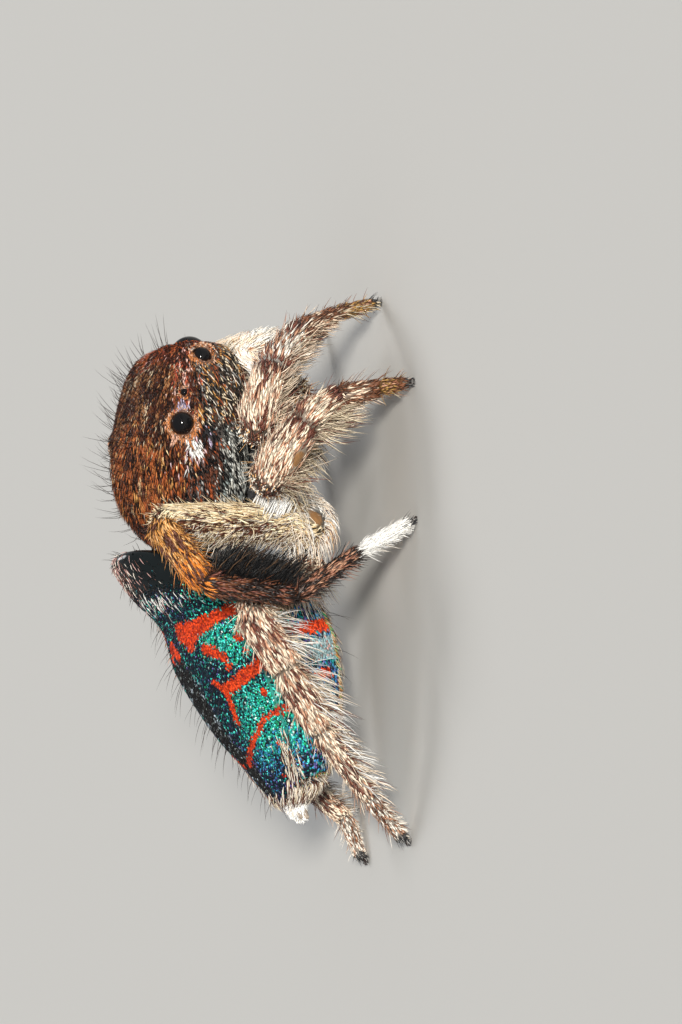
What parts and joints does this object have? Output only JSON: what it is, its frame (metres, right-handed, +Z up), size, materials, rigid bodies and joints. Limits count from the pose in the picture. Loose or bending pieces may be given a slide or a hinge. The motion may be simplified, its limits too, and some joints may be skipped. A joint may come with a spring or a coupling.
{
  "type": "peacock spider",
  "caption": "Male peacock spider at life size, standing with its blue and red fan folded: bristly brown head, banded legs and long white-footed display legs; still model.",
  "frame": {"origin": "centre of the bounding box on the floor, at the level of the foot flats", "axes": "+Z up, the head faces -Y, the animal's right side faces -X"},
  "size_m": [0.0058, 0.0058, 0.0028],
  "materials": {
    "carapace": "dark brown shell under short rust, gold and grey scales, with long dark bristles",
    "eye": "glossy black lens",
    "under": "near-black underside with sparse pale scales",
    "chelicera": "dark reddish brown, slightly shiny",
    "palp": "dense cream to white hair",
    "leg": "cream and rust-brown striped hair over brown shell",
    "leg_dark": "dark reddish brown hair",
    "tarsus_white": "pure white brush of hair",
    "abdomen": "navy and turquoise glittering scales with orange-red bands",
    "fan": "folded flap with red bars, pale blue and green scales",
    "spinneret": "pale, white-haired"
  },
  "bodies": {
    "root": {"carapace": "carapace", "sternum": "under", "pedicel": "under", "eye_ame_right": "eye", "eye_ame_left": "eye", "eye_ale_right": "eye", "eye_ale_left": "eye", "eye_pme_right": "eye", "eye_pme_left": "eye", "eye_ple_right": "eye", "eye_ple_left": "eye", "chelicera_right": "chelicera", "chelicera_left": "chelicera", "palp_right_femur": "palp", "palp_right_cymbium": "palp", "palp_left_femur": "palp", "palp_left_cymbium": "palp", "abdomen": "abdomen", "fan_flap_right": "fan", "fan_flap_left": "fan", "spinnerets": "spinneret", "leg_i_right_coxa": "under", "leg_i_right_femur": "leg", "leg_i_right_tibia": "leg", "leg_i_right_tarsus": "leg", "leg_ii_right_coxa": "under", "leg_ii_right_femur": "leg", "leg_ii_right_tibia": "leg", "leg_ii_right_tarsus": "leg", "leg_iii_right_coxa": "under", "leg_iii_right_femur": "leg", "leg_iii_right_tibia": "leg_dark", "leg_iii_right_tarsus": "tarsus_white", "leg_iv_right_coxa": "under", "leg_iv_right_femur": "leg", "leg_iv_right_tibia": "leg", "leg_iv_right_tarsus": "leg", "leg_i_left_coxa": "under", "leg_i_left_femur": "leg", "leg_i_left_tibia": "leg", "leg_i_left_tarsus": "leg", "leg_ii_left_coxa": "under", "leg_ii_left_femur": "leg", "leg_ii_left_tibia": "leg", "leg_ii_left_tarsus": "leg", "leg_iii_left_coxa": "under", "leg_iii_left_femur": "leg", "leg_iii_left_tibia": "leg_dark", "leg_iii_left_tarsus": "tarsus_white", "leg_iv_left_coxa": "under", "leg_iv_left_femur": "leg", "leg_iv_left_tibia": "leg", "leg_iv_left_tarsus": "leg"}
  },
  "joints": []
}
